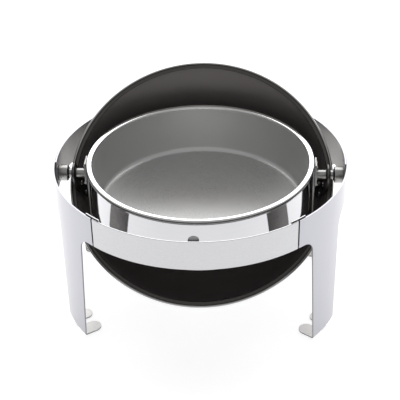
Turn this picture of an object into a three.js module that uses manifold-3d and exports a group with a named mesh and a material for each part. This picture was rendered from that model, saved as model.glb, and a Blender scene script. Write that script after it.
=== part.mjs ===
// Round roll-top chafing dish: a ring on four curved legs carries a water pan between two
// side pivots, a food pan lifts out of it, and a domed lid rolls back around both.
// Millimetres, +Z up, front towards -Y, origin on the floor under the ring's centre.
import * as THREE from "three";
import { mergeVertices } from "three/addons/utils/BufferGeometryUtils.js";
import Module from "manifold-3d";

const wasm = await Module();
wasm.setup();

// ---------------------------------------------------------------- driving sizes
const GAP = 0.3; // air between pieces that touch
const SEG = 50; // facets round the large turned pieces

const FLOOR_CLEAR = 10; // air under the dome
const BAND_H = 50; // height of the ring
const SHEET = 2.4; // thickness of ring and legs
const PIVOT_DROP = 30; // lid's axis below the ring's top edge
const BAND_HALF = 40.4; // half angle of the front and rear bands, degrees
const SEAM = 0.6; // open seam beside a band, degrees
const OVERLAP = 4; // how far a leg plate passes the pivot axis, degrees
const LEG_TOP_A = 48.6; // leg edges under the ring, degrees from the front
const LEG_TOP_B = 68.6;
const LEG_FOOT_A = 51.4; // leg edges at the floor
const LEG_FOOT_B = 67.6;
const FILLET_A = 21; // corner radii between leg and ring
const FILLET_B = 26;
const TAB_W = 26; // foot tabs, turned inwards
const TAB_L = 33;
const TONGUE_BACK = 2.9; // joint tongue: on the band's side of the seam, degrees
const TONGUE_ON = 3.5; // and behind the leg plate
const TONGUE_RISE = 2; // tongue above the ring's top edge

const PAN_IN_R = 176.3; // food pan, inside at the top
const PAN_RIM_W = 10.2; // width of its rolled rim
const PAN_RISE = 0.5; // rim above the ring's top edge
const PAN_DEPTH = 86.5;
const PAN_WALL = 1.5;
const PAN_DRAFT = 4;
const PAN_CORNER = 9;
const NEST = 2; // air between the two pans' walls
const RIM_STEP = 6.3; // water pan's rim below the food pan's
const WATER_WALL = 1.6;
const WATER_SPACE = 28; // between the two pans' floors
const WATER_CORNER = 20;
const RIM_INSET = 2.5; // water pan's rim inside the food pan's

const STRAP_W = 24; // cradle under the water pan
const STRAP_T = 2.6;
const PLATE_T = 3; // hanger plates outside the cradle
const PLATE_W = 30;
const PLATE_UP = 25;
const PLATE_DOWN = 21;
const SCREW_R = 1.9; // hanger plate screws
const SCREW_HEAD_R = 3.6;
const SCREW_INSET = 7; // screw rows in from the plate's sides

const LID_CLEAR = 11; // air between the cradle and the rolling dome
const RING_CLEAR = 26; // from the dome to the ring's outside
const DOME_T = 1.6;
const RIM_OFF = 27; // rim plane above the pivot axis when closed
const HEM_W = 6.5;
const EAR_T = 2.5;
const EAR_W = 34;
const EAR_L = 82;
const OPEN = 143.5; // the lid's opening at rest, degrees

const PIN_R = 4;
const TUBE_WALL = 3.5; // spacer tube round the pin
const WASHER_R = 9.6;
const BOSS_R = 13.4;
const HANDLE_X = 55; // half width of the lid handle
const GRIP = 29; // handle's centre line off the dome
const ROD_R = 5;

// ---------------------------------------------------------------- sizes that follow
const PAN_RIM_R = PAN_IN_R + PAN_RIM_W;
const WATER_IN_R = PAN_IN_R + PAN_WALL + NEST;
const WATER_RIM_R = PAN_RIM_R - RIM_INSET;
const STRAP_X = WATER_RIM_R + GAP; // inner face of the cradle's uprights
const STRAP_BEND = WATER_CORNER - 4; // inside radius of its corners
const PLATE_X = STRAP_X + STRAP_T + GAP;

// The dome clears the cradle's bent lower corners as it rolls, and the legs lift the dome
// clear of the floor.
const FLOOR_DROP = PAN_DEPTH - PAN_RISE - PIVOT_DROP + WATER_SPACE;
const STRAP_DROP = FLOOR_DROP + WATER_WALL + GAP + STRAP_T;
const BEND_OUT = STRAP_BEND + STRAP_T;
const SWING = BEND_OUT + Math.hypot(STRAP_X + STRAP_T - BEND_OUT, STRAP_DROP - BEND_OUT);
const DOME_R = Math.ceil(SWING + LID_CLEAR + DOME_T);
const PIVOT_Z = DOME_R + FLOOR_CLEAR;
const RING_TOP = PIVOT_Z + PIVOT_DROP;
const PAN_TOP = RING_TOP + PAN_RISE;
const PAN_FLOOR = PAN_TOP - PAN_DEPTH;
const WATER_TOP = PAN_TOP - RIM_STEP;
const WATER_FLOOR = PAN_FLOOR - WATER_SPACE;
const STRAP_LOW = WATER_FLOOR - WATER_WALL - GAP; // upper face of the cradle's foot
const RING_R = DOME_R + RING_CLEAR; // outside radius of the front leg plates
const REAR_R = RING_R - SHEET - GAP; // the rear plates sit inside the front ones
const HEM_R = DOME_R + HEM_W;
const EAR_OUT = DOME_R - DOME_T - 1.3; // ears follow the dome's inside
const EAR_IN = EAR_OUT - EAR_T;
const TUBE_R = PIN_R + GAP + TUBE_WALL;
const HANDLE_R = DOME_R + GRIP;
const TONGUE_A = BAND_HALF - TONGUE_BACK;
const TONGUE_B = BAND_HALF + SEAM + TONGUE_ON;

const deg = (a) => (a * Math.PI) / 180;
const root = new THREE.Group();
root.name = "chafing_dish";

// ---------------------------------------------------------------- solids
function solid(geometry) {
  const g = geometry.clone();
  for (const k of Object.keys(g.attributes)) {
    if (k !== "position") g.deleteAttribute(k);
  }
  const m = mergeVertices(g, 1e-4);
  const verts = new Float32Array(m.attributes.position.array);
  const tris = new Uint32Array(m.index.array);
  return new wasm.Manifold(new wasm.Mesh({ numProp: 3, vertProperties: verts, triVerts: tris }));
}

function geometryOf(manifold) {
  const mesh = manifold.getMesh();
  const g = new THREE.BufferGeometry();
  const pos = new Float32Array(mesh.numVert * 3);
  for (let i = 0; i < mesh.numVert; i++) {
    for (let k = 0; k < 3; k++) pos[3 * i + k] = mesh.vertProperties[i * mesh.numProp + k];
  }
  g.setAttribute("position", new THREE.BufferAttribute(pos, 3));
  g.setIndex(new THREE.BufferAttribute(new Uint32Array(mesh.triVerts), 1));
  g.computeVertexNormals();
  return g;
}

const join = (...parts) => geometryOf(wasm.Manifold.union(parts.map(solid)));
const cut = (from, ...tools) => {
  let s = solid(from);
  for (const t of tools) s = s.subtract(solid(t));
  return geometryOf(s);
};
const common = (a, b) => geometryOf(solid(a).intersect(solid(b)));

function add(name, geometry, color, metalness, roughness) {
  const material = new THREE.MeshStandardMaterial({ color, metalness, roughness });
  material.name = name;
  const mesh = new THREE.Mesh(geometry, material);
  mesh.name = name;
  root.add(mesh);
  return mesh;
}

const polished = (name, g) => add(name, g, 0xd3d3da, 0.95, 0.12);
const brushed = (name, g) => add(name, g, 0xd0d1d3, 0.9, 0.35);
const satin = (name, g) => add(name, g, 0xb4b5b6, 0.85, 0.4);
const darkRubber = (name, g) => add(name, g, 0x17171a, 0.0, 0.8);

// Flat outline in XY pushed up from z0 to z1.
function prism(shape, z0, z1, curveSegments = 12) {
  const opts = { depth: z1 - z0, bevelEnabled: false, curveSegments };
  return new THREE.ExtrudeGeometry(shape, opts).translate(0, 0, z0);
}

function shapeOf(points) {
  return new THREE.Shape(points.map((p) => new THREE.Vector2(p[0], p[1])));
}

// Point at angle a from the front (-Y), positive towards +X.
const around = (r, a) => [r * Math.sin(deg(a)), -r * Math.cos(deg(a))];

// Curved sheet between two radii, two angles and two heights.
function sector(r0, r1, a0, a1, z0, z1, step = 3) {
  const n = Math.max(2, Math.ceil((a1 - a0) / step));
  const pts = [];
  for (let i = 0; i <= n; i++) pts.push(around(r1, a0 + ((a1 - a0) * i) / n));
  for (let i = n; i >= 0; i--) pts.push(around(r0, a0 + ((a1 - a0) * i) / n));
  return prism(shapeOf(pts), z0, z1);
}

// Rod of radius r along X from x0 to x1 at the pivot height.
function rodX(r, x0, x1, seg = 20) {
  const g = new THREE.CylinderGeometry(r, r, x1 - x0, seg);
  g.rotateZ(Math.PI / 2);
  return g.translate((x0 + x1) / 2, 0, PIVOT_Z);
}

function ringX(r, bore, x0, x1, seg = 20) {
  return cut(rodX(r, x0, x1, seg), rodX(bore, x0 - 1, x1 + 1, seg));
}

const mirrorX = (g) => flipped(g, -1, 1);
const mirrorY = (g) => flipped(g, 1, -1);

// Mirror a solid and turn its faces the right way out again.
function flipped(geometry, sx, sy) {
  const g = geometry.index ? geometry.toNonIndexed() : geometry.clone();
  g.scale(sx, sy, 1);
  const p = g.attributes.position;
  for (let i = 0; i < p.count; i += 3) {
    const b = [p.getX(i + 1), p.getY(i + 1), p.getZ(i + 1)];
    p.setXYZ(i + 1, p.getX(i + 2), p.getY(i + 2), p.getZ(i + 2));
    p.setXYZ(i + 2, ...b);
  }
  g.deleteAttribute("normal");
  if (g.attributes.uv) g.deleteAttribute("uv");
  const m = mergeVertices(g, 1e-4);
  m.computeVertexNormals();
  return m;
}

// ---------------------------------------------------------------- ring and legs
// Window beside a leg, drawn flat in (u, z) and pushed outwards along the leg's own radius.
function legWindow(side, radius) {
  const mid = (LEG_FOOT_A + LEG_FOOT_B) / 2;
  const u = (a) => radius * Math.sin(deg(a - mid));
  const z1 = RING_TOP - BAND_H;
  const top = side < 0 ? LEG_TOP_A : LEG_TOP_B;
  const foot = side < 0 ? LEG_FOOT_A : LEG_FOOT_B;
  const r = side < 0 ? FILLET_A : FILLET_B;
  const far = u(mid + side * 45);
  const shape = new THREE.Shape();
  shape.moveTo(far, -5);
  shape.lineTo(u(foot), -5);
  shape.lineTo(u(foot), 0);
  shape.lineTo(u(top), z1 - r);
  for (let i = 1; i <= 6; i++) {
    const t = deg(15 * i);
    shape.lineTo(u(top) + side * r * (1 - Math.cos(t)), z1 - r + r * Math.sin(t));
  }
  shape.lineTo(far, z1);
  shape.closePath();
  const g = new THREE.ExtrudeGeometry(shape, { depth: 120, bevelEnabled: false });
  g.rotateX(Math.PI / 2);
  g.translate(0, -radius + 60, 0);
  g.rotateZ(deg(mid));
  return g;
}

// Flat tab with a rounded inner end, at the foot of a leg.
function footTab(angle, radius) {
  const w = TAB_W / 2;
  const y0 = -(radius - SHEET / 2);
  const y1 = -(radius - SHEET - TAB_L + w);
  const shape = new THREE.Shape();
  shape.moveTo(-w, y0);
  shape.lineTo(w, y0);
  shape.lineTo(w, y1);
  shape.absarc(0, y1, w, 0, Math.PI, false);
  shape.closePath();
  return prism(shape, 0, SHEET, 10).rotateZ(deg(angle));
}

// T-shaped leg plate on the front right; the other three are its mirror images.
function legPlate(radius) {
  const a0 = BAND_HALF + SEAM;
  const a1 = 90 + OVERLAP;
  const plate = sector(radius - SHEET, radius, a0, a1, 0, RING_TOP);
  const half = (TAB_W / 2 / radius) * (180 / Math.PI);
  const body = cut(plate, legWindow(-1, radius), legWindow(1, radius));
  return join(body, footTab(LEG_FOOT_A + half, radius), footTab(LEG_FOOT_B - half, radius));
}

// Band across the front or rear with a set-back tongue behind each seam.
function band(radius) {
  const z0 = RING_TOP - BAND_H;
  const back = radius - SHEET - GAP;
  const parts = [sector(radius - SHEET, radius, -BAND_HALF, BAND_HALF, z0, RING_TOP)];
  const zt = RING_TOP + TONGUE_RISE;
  for (const s of [-1, 1]) {
    const a = [s * TONGUE_A, s * TONGUE_B].sort((p, q) => p - q);
    const b = [s * TONGUE_A, s * (BAND_HALF - 0.2)].sort((p, q) => p - q);
    parts.push(sector(back - SHEET, back, a[0], a[1], z0 + 2, zt));
    parts.push(sector(back - 1, radius - 1, b[0], b[1], z0 + 2, RING_TOP - 1));
  }
  return join(...parts);
}

polished("leg_front_right", legPlate(RING_R));
polished("leg_front_left", mirrorX(legPlate(RING_R)));
polished("leg_rear_right", mirrorY(legPlate(REAR_R)));
polished("leg_rear_left", mirrorY(mirrorX(legPlate(REAR_R))));
brushed("band_front", band(RING_R));
brushed("band_rear", mirrorY(band(REAR_R)));

// ---------------------------------------------------------------- lid rest at the front
const REST_TOP = PIVOT_Z + RIM_OFF - GAP;
const REST_Y = -(HEM_R + 2.5);
const REST_R = 8.5;
const SHELF_Z = REST_TOP - 8.7;

function restLug() {
  const yFace = -(RING_R - SHEET - GAP);
  const up = new THREE.BoxGeometry(2 * REST_R, 2, 20).translate(0, yFace + 1, SHELF_Z - 8);
  const shape = new THREE.Shape();
  shape.moveTo(-REST_R, yFace);
  shape.lineTo(REST_R, yFace);
  shape.lineTo(REST_R, REST_Y);
  shape.absarc(0, REST_Y, REST_R, 0, Math.PI, false);
  shape.closePath();
  const shelf = prism(shape, SHELF_Z - 2, SHELF_Z, 10);
  const hole = new THREE.CylinderGeometry(3.3, 3.3, 8, 20).rotateX(Math.PI / 2);
  return cut(join(up, shelf), hole.translate(0, REST_Y, SHELF_Z));
}

function turned(points, seg) {
  return new THREE.LatheGeometry(points.map((p) => new THREE.Vector2(p[0], p[1])), seg);
}

// Turned piece standing on Z.
const lathe = (points, seg = SEG) => turned(points, seg).rotateX(Math.PI / 2);

function restButton() {
  const z = SHELF_Z + GAP;
  const pts = [[0, z - 5], [3, z - 5], [3, z], [REST_R - 0.6, z], [REST_R, z + 1]];
  pts.push([REST_R, z + 4.6], [REST_R - 1.2, z + 6.6], [REST_R - 3.6, z + 7.9], [0, REST_TOP]);
  return lathe(pts, 22).translate(0, REST_Y, 0);
}

brushed("lid_rest_lug", restLug());
add("lid_rest_button", restButton(), 0x6f7174, 0.0, 0.6);

// ---------------------------------------------------------------- pans
// Quarter turn between two directions, in steps of 90/n degrees.
function arc(cx, cz, r, a0, a1, n) {
  const pts = [];
  for (let i = 0; i <= n; i++) {
    const a = deg(a0 + ((a1 - a0) * i) / n);
    pts.push([cx + r * Math.cos(a), cz + r * Math.sin(a)]);
  }
  return pts;
}

function foodPan() {
  const foot = PAN_IN_R - PAN_DRAFT;
  const c = PAN_CORNER;
  const t = PAN_WALL;
  const w = (PAN_RIM_R - PAN_IN_R) / 2;
  const mid = PAN_IN_R + w;
  const pts = [[0, PAN_FLOOR]];
  pts.push(...arc(foot - c, PAN_FLOOR + c, c, -90, 0, 4));
  for (const p of arc(mid, 0, w, 180, 0, 6)) pts.push([p[0], PAN_TOP - 4.2 + p[1] * 0.82]);
  pts.push([PAN_RIM_R - 0.8, PAN_TOP - 6]);
  pts.push([PAN_IN_R + t + 0.9, PAN_TOP - 5.4]);
  pts.push([PAN_IN_R + t, PAN_TOP - 7.5]);
  pts.push(...arc(foot - c, PAN_FLOOR + c, c + t, 0, -90, 4));
  pts.push([0, PAN_FLOOR - t]);
  return lathe(pts.reverse());
}

function waterPan() {
  const r = WATER_IN_R;
  const t = WATER_WALL;
  const c = WATER_CORNER;
  const pts = [[0, WATER_FLOOR]];
  pts.push(...arc(r - c, WATER_FLOOR + c, c, -90, 0, 5));
  pts.push([r, WATER_TOP - 0.8], [r + 0.8, WATER_TOP - GAP]);
  pts.push([WATER_RIM_R - 0.5, WATER_TOP - GAP], [WATER_RIM_R, WATER_TOP - 0.9]);
  pts.push([WATER_RIM_R, WATER_TOP - 3], [WATER_RIM_R - 1, WATER_TOP - 3.3]);
  pts.push([r + t + 0.2, WATER_TOP - 2.4], [r + t, WATER_TOP - 3.6]);
  pts.push(...arc(r - c, WATER_FLOOR + c, c + t, 0, -90, 5));
  pts.push([0, WATER_FLOOR - t]);
  return lathe(pts.reverse());
}

satin("food_pan", foodPan());
polished("water_pan", waterPan());

// ---------------------------------------------------------------- cradle and hanger plates
// U-shaped strap outline in (x, z), bent round both lower corners.
function strapOutline(half, low, r) {
  return [...arc(-half + r, low + r, r, 180, 270, 5), ...arc(half - r, low + r, r, 270, 360, 5)];
}

function cradle() {
  const top = PIVOT_Z + PLATE_UP - 4;
  const inner = strapOutline(STRAP_X, STRAP_LOW, STRAP_BEND);
  const outer = strapOutline(STRAP_X + STRAP_T, STRAP_LOW - STRAP_T, BEND_OUT);
  const pts = [[-STRAP_X - STRAP_T, top], ...outer, [STRAP_X + STRAP_T, top], [STRAP_X, top]];
  pts.push(...inner.reverse(), [-STRAP_X, top]);
  const g = prism(shapeOf(pts), -STRAP_W / 2, STRAP_W / 2);
  g.rotateX(Math.PI / 2);
  const holes = [];
  for (const s of [-1, 1]) {
    for (const [y, z] of SCREW_AT) {
      holes.push(boltX(SCREW_R + GAP, s * STRAP_X - 4, s * STRAP_X + 4, y, z));
    }
  }
  return cut(g, ...holes);
}

const SCREW_Y = PLATE_W / 2 - SCREW_INSET;
const SCREW_UP = PLATE_UP - 9;
const SCREW_LOW = 8 - PLATE_DOWN;
const SCREW_AT = [[-SCREW_Y, SCREW_UP], [SCREW_Y, SCREW_UP], [-SCREW_Y, SCREW_LOW], [SCREW_Y, SCREW_LOW]];

// Rod along X at (y, z) from the pivot axis.
function boltX(r, x0, x1, y, z, seg = 12) {
  return rodX(r, x0, x1, seg).translate(0, y, z);
}

function hangerPlate() {
  const w = PLATE_W / 2;
  const pts = [[-w, PLATE_UP], [-w, 8 - PLATE_DOWN], [-w + 9, -PLATE_DOWN]];
  pts.push([w - 9, -PLATE_DOWN], [w, 8 - PLATE_DOWN], [w, PLATE_UP]);
  const g = prism(shapeOf(pts), 0, PLATE_T);
  g.rotateX(Math.PI / 2);
  g.rotateZ(Math.PI / 2);
  g.translate(PLATE_X, 0, PIVOT_Z);
  const holes = SCREW_AT.map(([y, z]) => boltX(SCREW_R + GAP, PLATE_X - 1, PLATE_X + PLATE_T + 1, y, z));
  return cut(g, rodX(PIN_R + GAP, PLATE_X - 1, PLATE_X + PLATE_T + 1), ...holes);
}

function plateScrew(y, z) {
  const face = PLATE_X + PLATE_T + GAP;
  const shank = boltX(SCREW_R, STRAP_X + 0.2, face + 0.5, y, z);
  return join(shank, boltX(SCREW_HEAD_R, face, face + 2, y, z, 16));
}

// ---------------------------------------------------------------- pivots
const WALL_X = REAR_R - SHEET - GAP - 0.4; // inner face of the rear leg plate at the axis
const TUBE_END = EAR_IN - 2.8;
const PIN_IN = PLATE_X + 0.2;
// Stack along each pivot: name, outside radius, from, to and maker.
const STACK = [
  ["spacer_tube", TUBE_R, PLATE_X + PLATE_T + GAP, TUBE_END, brushed],
  ["inner_washer", WASHER_R, TUBE_END + GAP, EAR_IN - 0.9, darkRubber],
  ["friction_washer", WASHER_R, EAR_OUT + GAP, EAR_OUT + 1.7, darkRubber],
  ["collar", TUBE_R - 0.4, EAR_OUT + 2, EAR_OUT + 6.6, brushed],
  ["outer_washer", WASHER_R + 0.4, EAR_OUT + 6.9, EAR_OUT + 8.1, darkRubber],
];
const BOSS_X = EAR_OUT + 8.4;

function boss() {
  const body = rodX(BOSS_R, BOSS_X + 1.2, WALL_X, 32);
  const nose = new THREE.CylinderGeometry(BOSS_R, BOSS_R - 1.2, 1.2, 32);
  nose.rotateZ(-Math.PI / 2);
  nose.translate(BOSS_X + 0.6, 0, PIVOT_Z);
  return cut(join(body, nose), rodX(PIN_R + GAP, BOSS_X - 1, WALL_X - 3));
}

const SIDES = [["right", (g) => g], ["left", mirrorX]];
brushed("cradle_strap", cradle());
for (const [side, place] of SIDES) {
  brushed(`hanger_plate_${side}`, place(hangerPlate()));
  SCREW_AT.forEach(([y, z], i) => brushed(`plate_screw_${side}_${i + 1}`, place(plateScrew(y, z))));
  for (const [name, r, x0, x1, make] of STACK) {
    make(`${name}_${side}`, place(ringX(r, PIN_R + GAP, x0, x1)));
  }
  brushed(`pivot_boss_${side}`, place(boss()));
  brushed(`pivot_pin_${side}`, place(rodX(PIN_R, PIN_IN, WALL_X - 3.5)));
}

// ---------------------------------------------------------------- lid
// The lid is drawn closed about the pivot axis, then rolled open.
function rolled(geometry) {
  geometry.rotateX(deg(-OPEN));
  return geometry.translate(0, 0, PIVOT_Z);
}

function dome() {
  const inner = DOME_R - DOME_T;
  const zi = RIM_OFF + 3.6;
  const zo = RIM_OFF + 5.6;
  const ai = (Math.asin(zi / inner) * 180) / Math.PI;
  const ao = (Math.asin(zo / DOME_R) * 180) / Math.PI;
  const h = HEM_R;
  const z = RIM_OFF;
  const pts = [...arc(0, 0, inner, 90, ai, 10)];
  pts[0] = [0, inner];
  pts.push([inner * Math.cos(deg(ai)) + 0.2, z + 1.6], [h - 4.4, z + 1.6], [h - 4, z + 2.1]);
  pts.push([h - 3.3, z + 0.8], [h - 1.9, z], [h - 0.5, z + 0.7], [h, z + 2]);
  pts.push([h - 0.5, z + 3.4], [h - 1.9, z + 4], [h - 5, z + 3.7]);
  const outer = arc(0, 0, DOME_R, ao, 90, 10);
  outer[10] = [0, DOME_R];
  return lathe([...pts, ...outer], 54);
}

const ball = (r, across = 60, up = 40) => new THREE.SphereGeometry(r, across, up);

// Ear inside the dome that reaches past the rim to the pivot axis, on the +X side.
function ear() {
  const w = EAR_W / 2;
  const shape = new THREE.Shape();
  shape.moveTo(-w, 0);
  shape.absarc(0, 0, w, Math.PI, 2 * Math.PI, false);
  shape.lineTo(w, EAR_L - 14);
  shape.lineTo(w - 12, EAR_L);
  shape.lineTo(-w + 12, EAR_L);
  shape.lineTo(-w, EAR_L - 14);
  shape.closePath();
  const blank = prism(shape, EAR_IN - 60, EAR_OUT + 10, 16);
  blank.rotateX(Math.PI / 2);
  blank.rotateZ(Math.PI / 2);
  const shell = cut(ball(EAR_OUT), ball(EAR_IN));
  const holes = [new THREE.CylinderGeometry(PIN_R + GAP, PIN_R + GAP, 80, 24)];
  for (const [y, z] of RIVET_AT) holes.push(rivetBlank(2.4, y, z));
  holes[0].rotateZ(Math.PI / 2);
  holes[0].translate(EAR_IN, 0, 0);
  return cut(common(shell, blank), ...holes);
}

const RIVET_AT = [[0, 46], [-9, 66], [9, 66]];

// Rod along X through the ear at (y, z) in the closed lid.
function rivetBlank(r, y, z) {
  const g = new THREE.CylinderGeometry(r, r, 80, 14);
  g.rotateZ(Math.PI / 2);
  return g.translate(EAR_IN - 20, y, z);
}

// Rivet: a shank through the ear and a low head that follows the ear's inner face.
function rivet(y, z) {
  const head = cut(common(rivetBlank(4.6, y, z), ball(EAR_IN - 0.4)), ball(EAR_IN - 2.4));
  const shank = cut(common(rivetBlank(2, y, z), ball(EAR_OUT - 0.2)), ball(EAR_IN - 1.4));
  return join(head, shank);
}

// Angle of the handle above the closed rim plane, so that its posts rest on the rear band.
const REST_EDGE = Math.sqrt((REAR_R - SHEET) ** 2 - HANDLE_X ** 2);
const STOP = Math.hypot(REST_EDGE, RING_TOP - PIVOT_Z);
const RISE = Math.atan2(RING_TOP - PIVOT_Z, REST_EDGE) + Math.asin((ROD_R + 0.5) / STOP);
const HANDLE_ANGLE = deg(180 - OPEN) - RISE;

// Carry a piece drawn with +Z as the handle's outward direction to its place on the closed lid.
const atHandle = (g) => g.rotateX(Math.PI / 2 - HANDLE_ANGLE);

function handle() {
  const seat = Math.sqrt(DOME_R ** 2 - HANDLE_X ** 2);
  const z0 = seat + 5;
  const b = 11;
  const x = HANDLE_X;
  const path = new THREE.CurvePath();
  const v = (px, pz) => new THREE.Vector3(px, 0, pz);
  path.add(new THREE.LineCurve3(v(-x, z0), v(-x, HANDLE_R - b)));
  path.add(new THREE.QuadraticBezierCurve3(v(-x, HANDLE_R - b), v(-x, HANDLE_R), v(-x + b, HANDLE_R)));
  path.add(new THREE.LineCurve3(v(-x + b, HANDLE_R), v(x - b, HANDLE_R)));
  path.add(new THREE.QuadraticBezierCurve3(v(x - b, HANDLE_R), v(x, HANDLE_R), v(x, HANDLE_R - b)));
  path.add(new THREE.LineCurve3(v(x, HANDLE_R - b), v(x, z0)));
  const section = new THREE.Shape();
  section.absarc(0, 0, ROD_R, 0, 2 * Math.PI, false);
  const opts = { steps: 34, extrudePath: path, curveSegments: 5, bevelEnabled: false };
  return geometryOf(solid(new THREE.ExtrudeGeometry(section, opts)));
}

// Foot under each end of the handle, seated on the dome.
function handleFoot(x) {
  const seat = Math.sqrt(DOME_R ** 2 - HANDLE_X ** 2);
  const g = new THREE.CylinderGeometry(8.5, 10, 12, 24).rotateX(Math.PI / 2);
  g.translate(x, 0, seat + 5 - GAP - 6);
  return cut(g, ball(DOME_R + GAP, 72, 48).rotateX(Math.PI / 2));
}

add("lid_dome", rolled(dome()), 0xc4c5c8, 0.95, 0.15);
for (const [side, place] of SIDES) {
  brushed(`lid_ear_${side}`, rolled(place(ear())));
  RIVET_AT.forEach(([y, z], i) => brushed(`ear_rivet_${side}_${i + 1}`, rolled(place(rivet(y, z)))));
}
polished("lid_handle", rolled(atHandle(handle())));
for (const [side, s] of [["right", 1], ["left", -1]]) {
  polished(`handle_foot_${side}`, rolled(atHandle(handleFoot(s * HANDLE_X))));
}

export default root;
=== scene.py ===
# Round roll-top chafing dish: fine turned and bent sheet-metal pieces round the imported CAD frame.
import math

import bmesh
import bpy
from mathutils import Matrix, Vector


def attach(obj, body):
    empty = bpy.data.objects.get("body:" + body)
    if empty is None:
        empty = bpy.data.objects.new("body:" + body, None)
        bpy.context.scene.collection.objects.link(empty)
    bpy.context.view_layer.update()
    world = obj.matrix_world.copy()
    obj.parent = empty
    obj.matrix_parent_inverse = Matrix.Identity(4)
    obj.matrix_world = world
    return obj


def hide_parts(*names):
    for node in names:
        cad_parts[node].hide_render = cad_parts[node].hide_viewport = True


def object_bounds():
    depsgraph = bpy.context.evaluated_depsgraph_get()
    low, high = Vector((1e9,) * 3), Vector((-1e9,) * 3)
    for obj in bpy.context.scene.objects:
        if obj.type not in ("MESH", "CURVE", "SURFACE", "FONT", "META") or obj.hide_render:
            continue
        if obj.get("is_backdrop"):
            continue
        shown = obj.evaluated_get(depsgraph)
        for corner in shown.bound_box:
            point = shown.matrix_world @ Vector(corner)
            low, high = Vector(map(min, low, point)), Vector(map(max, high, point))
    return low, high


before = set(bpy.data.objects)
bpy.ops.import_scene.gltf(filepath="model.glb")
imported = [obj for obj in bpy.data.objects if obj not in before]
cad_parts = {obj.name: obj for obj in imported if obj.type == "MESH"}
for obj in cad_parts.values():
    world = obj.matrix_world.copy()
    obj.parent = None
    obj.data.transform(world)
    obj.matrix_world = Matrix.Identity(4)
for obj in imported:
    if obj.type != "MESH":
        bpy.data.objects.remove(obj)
cad_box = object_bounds()

# ---------------------------------------------------------------- sizes, mm and degrees
MM = 0.001
PIVOT_Z = 224.0
PLAY = 0.3        # gap between parts that lie against each other
RING_TOP, BAND_LOW = 254.0, 204.0
RING_R, REAR_R, SHEET = 240.0, 237.3, 2.4
BAND_HALF, SEAM, OVERLAP = 40.4, 0.6, 4.0
LEG_TOP, LEG_FOOT, FILLET = (48.6, 68.6), (51.4, 67.6), (21.0, 26.0)
TAB_W, TAB_L, FOOT_BEND, FOOT_GAP_Z = 26.0, 33.0, 1.0, 1.5
TONGUE = (37.5, 44.5)
PAN_TOP, PAN_FLOOR, PAN_IN_R, PAN_RIM_R, PAN_WALL = 254.5, 168.0, 176.3, 186.5, 1.5
PAN_DRAFT, PAN_CORNER, PAN_BEAD = 4.0, 9.0, 4.2
WATER_TOP, WATER_FLOOR, WATER_IN_R, WATER_RIM_R, WATER_WALL = 248.2, 140.0, 179.8, 184.0, 1.6
WATER_CORNER = 36.0    # 20 in the CAD
STRAP_X, STRAP_LOW, STRAP_T, STRAP_W, STRAP_BEND = 184.3, 138.1, 2.6, 24.0, 16.0
PLATE_X, PLATE_T, PLATE_W, PLATE_UP, PLATE_DOWN = 187.2, 3.0, 30.0, 25.0, 21.0
DOME_R, DOME_T, RIM_OFF, HEM_R, OPEN = 214.0, 1.6, 27.0, 220.5, 143.5
EAR_OUT, EAR_IN, EAR_W, EAR_L = 211.1, 208.6, 34.0, 82.0
PIN_R, TUBE_R, WASHER_R, BOSS_R = 4.0, 7.8, 9.6, 13.4
RIVETS = ((0, 46), (-9, 66), (9, 66))
HANDLE_X, HANDLE_R, HANDLE_BEND, ROD_R = 55.0, 243.0, 11.0, 5.0
REST_TOP, REST_Y, REST_R, SHELF_Z = 250.7, -223.0, 8.5, 242.0
PAN_SEG, DOME_SEG, ROD_SEG, FOOT_SEG = 256, 288, 28, 48    # steps round a turned piece

# ---------------------------------------------------------------- camera, light and floor
PHOTO_PX, FOCAL_PX, SENSOR = 400, 1102.6, 36.0
AZIMUTH, YAW, PITCH, ROLL_ANGLE = 3.26, 0.07, 32.87, -1.30
CAMERA_AT = (0, -1.5515, 1.1748)    # before the turn by AZIMUTH, metres
FLOOR_GREY, FLOOR_GLOW, WORLD_GLOW = 0.62, 0.72, 0.40
FLOOR_HALF, FLOOR_Z = 6.0, -0.0002
SKY_AT, SKY_AIM, SKY_SIZE, SKY_WATTS = (0, 1.9, 1.75), (0, 0, 0.2), (4.6, 3.2), 82

rad = math.radians


def sin(a):
    return math.sin(rad(a))


def cos(a):
    return math.cos(rad(a))


# ---------------------------------------------------------------- materials
def node(nt, kind, **sets):
    n = nt.nodes.new(kind)
    for k, v in sets.items():
        setattr(n, k, v)
    return n


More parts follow.
